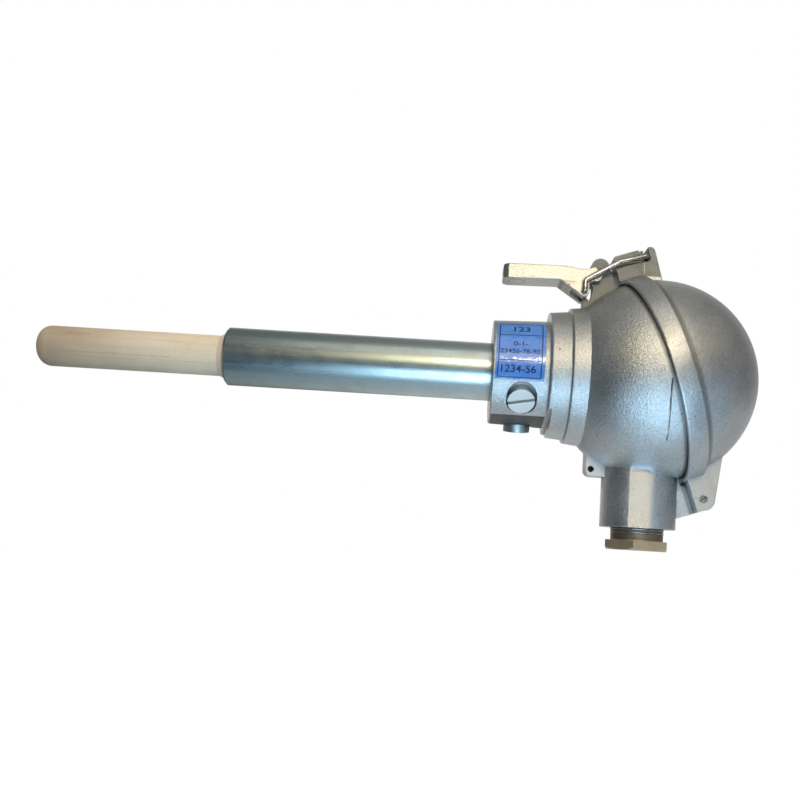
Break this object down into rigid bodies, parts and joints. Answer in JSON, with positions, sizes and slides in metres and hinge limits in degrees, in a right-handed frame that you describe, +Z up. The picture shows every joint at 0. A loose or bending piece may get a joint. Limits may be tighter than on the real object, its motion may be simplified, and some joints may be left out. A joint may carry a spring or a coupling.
{
  "type": "industrial thermometer",
  "caption": "Industrial thermocouple thermometer: cast connection head with a hinged, lever-latched dome cover on a steel holding tube and ceramic protection tube.",
  "frame": {"origin": "on the tubes' axis, at the face of the head's collar that the holding tube enters", "axes": "+X along the tubes' axis towards the head's dome, +Z up, away from the cable entry; the pictured side faces -Y"},
  "size_m": [0.2724, 0.0804, 0.1153],
  "materials": {
    "cast_head": "satin, fine as-cast grain",
    "cast_lever": "satin, as-cast grain",
    "pin_steel": "satin",
    "bright_wire": "bright",
    "zinc_screw": "satin, zinc plated",
    "zinc_tube": "bright, zinc plated",
    "ceramic_tube": "matte",
    "cement": "matte",
    "insulator_ceramic": "matte",
    "element_wire": "satin",
    "aged_brass": "aged, satin",
    "terminal_brass": "satin",
    "black_rubber": "matte",
    "block_ceramic": "glazed",
    "blue_plate": "gloss print on foil"
  },
  "bodies": {
    "base": {"head_base": "cast_head", "latch_pin": "pin_steel", "clamp_screw_1": "zinc_screw", "clamp_screw_2": "zinc_screw", "holding_tube": "zinc_tube", "protection_tube": "ceramic_tube", "tube_cement": "cement", "insulator_rod": "insulator_ceramic", "element_wire_1": "element_wire", "element_wire_2": "element_wire", "measuring_junction": "element_wire", "gland_screw": "aged_brass", "gland_washer": "zinc_screw", "gland_seal": "black_rubber", "terminal_block": "block_ceramic", "terminal_1": "terminal_brass", "terminal_2": "terminal_brass", "terminal_screw_1": "zinc_screw", "terminal_screw_2": "zinc_screw", "terminal_screw_3": "zinc_screw", "terminal_screw_4": "zinc_screw", "block_screw_1": "zinc_screw", "block_screw_2": "zinc_screw", "calibration_label": "blue_plate"},
    "cover": {"head_cover": "cast_head", "cover_gasket": "black_rubber", "hinge_pin": "pin_steel"},
    "lever": {"latch_lever": "cast_lever"},
    "bail": {"latch_bail": "bright_wire"}
  },
  "joints": [
    {"name": "cover_hinge", "type": "hinge", "parent": "base", "child": "cover", "pos_m": [0.08026, 0, -0.0441], "axis": [0, 1, 0], "range_deg": [0, 110]},
    {"name": "latch_lever_pivot", "type": "hinge", "parent": "base", "child": "lever", "pos_m": [0.0378, 0, 0.0384], "axis": [0, 1, 0], "range_deg": [0, 70]},
    {"name": "bail_pivot", "type": "hinge", "parent": "lever", "child": "bail", "pos_m": [0.0335, 0, 0.0319], "axis": [0, 1, 0], "range_deg": [-122.5, 0]}
  ],
  "couplings": [
    {"joint": "bail_pivot", "follows": "latch_lever_pivot", "ratio": -1.75}
  ]
}
